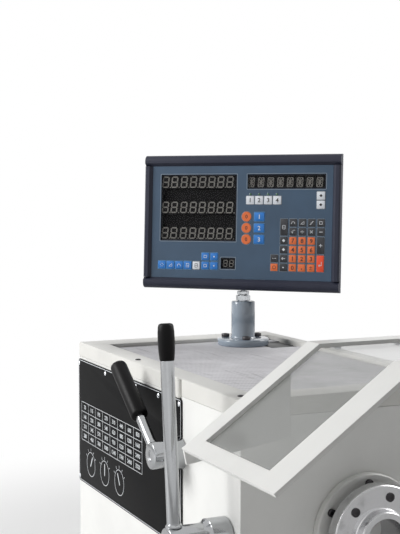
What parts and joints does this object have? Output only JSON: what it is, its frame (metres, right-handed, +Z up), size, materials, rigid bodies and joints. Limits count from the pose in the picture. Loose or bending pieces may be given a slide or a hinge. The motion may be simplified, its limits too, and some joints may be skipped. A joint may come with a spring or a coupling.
{
  "type": "lathe headstock with digital readout",
  "caption": "Geared lathe headstock with shift levers, a raised clear chuck guard and a digital readout console that swivels on a bolted pedestal.",
  "frame": {"origin": "centre of the headstock's flat underside, where it bolts to a lathe bed", "axes": "+X along the spindle towards its nose, -Y towards the operator, +Z up"},
  "size_m": [0.785, 0.4199, 0.5854],
  "materials": {
    "white_enamel": "gloss",
    "rim_enamel": "satin",
    "grey_mat": "matte",
    "black_label": "satin",
    "post_enamel": "gloss",
    "black_oxide": "satin",
    "zinc": "satin",
    "frame_paint": "satin",
    "shell_paint": "satin",
    "panel_film": "satin",
    "smoked_lens": "gloss",
    "digit_block": "matte",
    "board_green": "satin",
    "plated_steel": "satin",
    "socket_black": "matte",
    "orange_key": "satin",
    "black_key": "satin",
    "red_key": "satin",
    "blue_key": "satin",
    "white_key": "satin",
    "cast_steel": "satin",
    "chrome": "mirror",
    "grip_black": "gloss",
    "gear_steel": "satin",
    "ground_steel": "gloss",
    "clear_sheet": "gloss"
  },
  "bodies": {
    "head": {"headstock_casting": "white_enamel", "top_cover": "rim_enamel", "cover_mat": "grey_mat", "label_plate": "black_label", "pedestal_flange": "post_enamel", "pedestal_tube": "post_enamel", "pedestal_screw_1": "black_oxide", "pedestal_screw_2": "black_oxide", "pedestal_screw_3": "black_oxide", "spindle_bearing_front": "ground_steel", "spindle_bearing_rear": "ground_steel", "guard_bracket": "white_enamel", "guard_hinge_rod": "ground_steel"},
    "console": {"clamp_nut": "zinc", "lock_nut": "zinc", "swivel_stud": "zinc", "swivel_bracket": "plated_steel", "case_back_shell": "shell_paint", "frame_top_rail": "frame_paint", "frame_bottom_rail": "frame_paint", "frame_left_cheek": "frame_paint", "frame_right_cheek": "frame_paint", "front_plate": "shell_paint", "keypad_overlay": "panel_film", "axis_window": "smoked_lens", "message_window": "smoked_lens", "function_window": "smoked_lens", "digit_modules": "digit_block", "display_board": "board_green", "main_board": "board_green", "power_supply": "plated_steel", "rear_connectors": "plated_steel", "mains_inlet": "socket_black"},
    "digit_keys_body": {"digit_keys": "orange_key"},
    "operator_keys_body": {"operator_keys": "black_key"},
    "enter_key_body": {"enter_key": "red_key"},
    "axis_zero_keys_body": {"axis_zero_keys": "orange_key"},
    "axis_select_keys_body": {"axis_select_keys": "blue_key"},
    "function_keys_body": {"function_keys": "blue_key"},
    "menu_keys_body": {"menu_keys": "white_key"},
    "inch_metric_key_body": {"inch_metric_key": "white_key"},
    "power_rocker_body": {"power_rocker": "socket_black"},
    "speed_lever": {"speed_lever_hub": "cast_steel", "speed_lever_rod": "chrome", "speed_lever_grip": "grip_black", "speed_selector_arm": "cast_steel"},
    "range_lever": {"range_lever_hub": "cast_steel", "range_lever_rod": "chrome", "range_lever_grip": "grip_black", "range_selector_arm": "cast_steel"},
    "spindle_body": {"spindle": "ground_steel", "spindle_gear": "gear_steel", "spindle_nut": "cast_steel"},
    "countershaft_body": {"countershaft": "ground_steel", "countershaft_gears": "gear_steel"},
    "input_body": {"input_shaft": "ground_steel", "input_gear": "gear_steel", "input_pulley": "cast_steel"},
    "guard": {"guard_frame": "white_enamel", "guard_window": "clear_sheet"}
  },
  "joints": [
    {"name": "console_swivel", "type": "hinge", "parent": "head", "child": "console", "pos_m": [-0.166, 0.067, 0.3776], "axis": [0, 0, 1], "range_deg": [-120, 120]},
    {"name": "digit_keys_press", "type": "slide", "parent": "console", "child": "digit_keys_body", "axis": [-0.7059, 0.7059, -0.0576], "range_m": [0, 0.0004], "stiffness_N_per_m": 1500},
    {"name": "operator_keys_press", "type": "slide", "parent": "console", "child": "operator_keys_body", "axis": [-0.7059, 0.7059, -0.0576], "range_m": [0, 0.0004], "stiffness_N_per_m": 1500},
    {"name": "enter_key_press", "type": "slide", "parent": "console", "child": "enter_key_body", "axis": [-0.7059, 0.7059, -0.0576], "range_m": [0, 0.0004], "stiffness_N_per_m": 1500},
    {"name": "axis_zero_keys_press", "type": "slide", "parent": "console", "child": "axis_zero_keys_body", "axis": [-0.7059, 0.7059, -0.0576], "range_m": [0, 0.0004], "stiffness_N_per_m": 1500},
    {"name": "axis_select_keys_press", "type": "slide", "parent": "console", "child": "axis_select_keys_body", "axis": [-0.7059, 0.7059, -0.0576], "range_m": [0, 0.0004], "stiffness_N_per_m": 1500},
    {"name": "function_keys_press", "type": "slide", "parent": "console", "child": "function_keys_body", "axis": [-0.7059, 0.7059, -0.0576], "range_m": [0, 0.0004], "stiffness_N_per_m": 1500},
    {"name": "menu_keys_press", "type": "slide", "parent": "console", "child": "menu_keys_body", "axis": [-0.7059, 0.7059, -0.0576], "range_m": [0, 0.0004], "stiffness_N_per_m": 1500},
    {"name": "inch_metric_key_press", "type": "slide", "parent": "console", "child": "inch_metric_key_body", "axis": [-0.7059, 0.7059, -0.0576], "range_m": [0, 0.0004], "stiffness_N_per_m": 1500},
    {"name": "power_rocker_tilt", "type": "hinge", "parent": "console", "child": "power_rocker_body", "pos_m": [-0.1446, 0.13893, 0.50909], "axis": [0.7071, 0.7071, 0], "range_deg": [-8, 0]},
    {"name": "speed_lever_turn", "type": "hinge", "parent": "head", "child": "speed_lever", "pos_m": [0.2217, -0.15, 0.17], "axis": [0, 1, 0], "range_deg": [-30, 5]},
    {"name": "range_lever_turn", "type": "hinge", "parent": "head", "child": "range_lever", "pos_m": [0.103, -0.15, 0.234], "axis": [0, 1, 0], "range_deg": [0, 45]},
    {"name": "guard_hinge", "type": "hinge", "parent": "head", "child": "guard", "pos_m": [0.3885, 0.105, 0.3735], "axis": [1, 0, 0], "range_deg": [-60, 20]},
    {"name": "spindle_spin", "type": "hinge", "parent": "head", "child": "spindle_body", "pos_m": [0, 0, 0.166], "axis": [1, 0, 0], "continuous": true},
    {"name": "countershaft_spin", "type": "hinge", "parent": "head", "child": "countershaft_body", "pos_m": [0, 0.07503, 0.10611], "axis": [1, 0, 0], "continuous": true},
    {"name": "input_spin", "type": "hinge", "parent": "head", "child": "input_body", "pos_m": [0, 0.00977, 0.07568], "axis": [1, 0, 0], "continuous": true}
  ],
  "couplings": [
    {"joint": "countershaft_spin", "follows": "spindle_spin", "ratio": -1.6667},
    {"joint": "input_spin", "follows": "spindle_spin", "ratio": 3.3333}
  ]
}
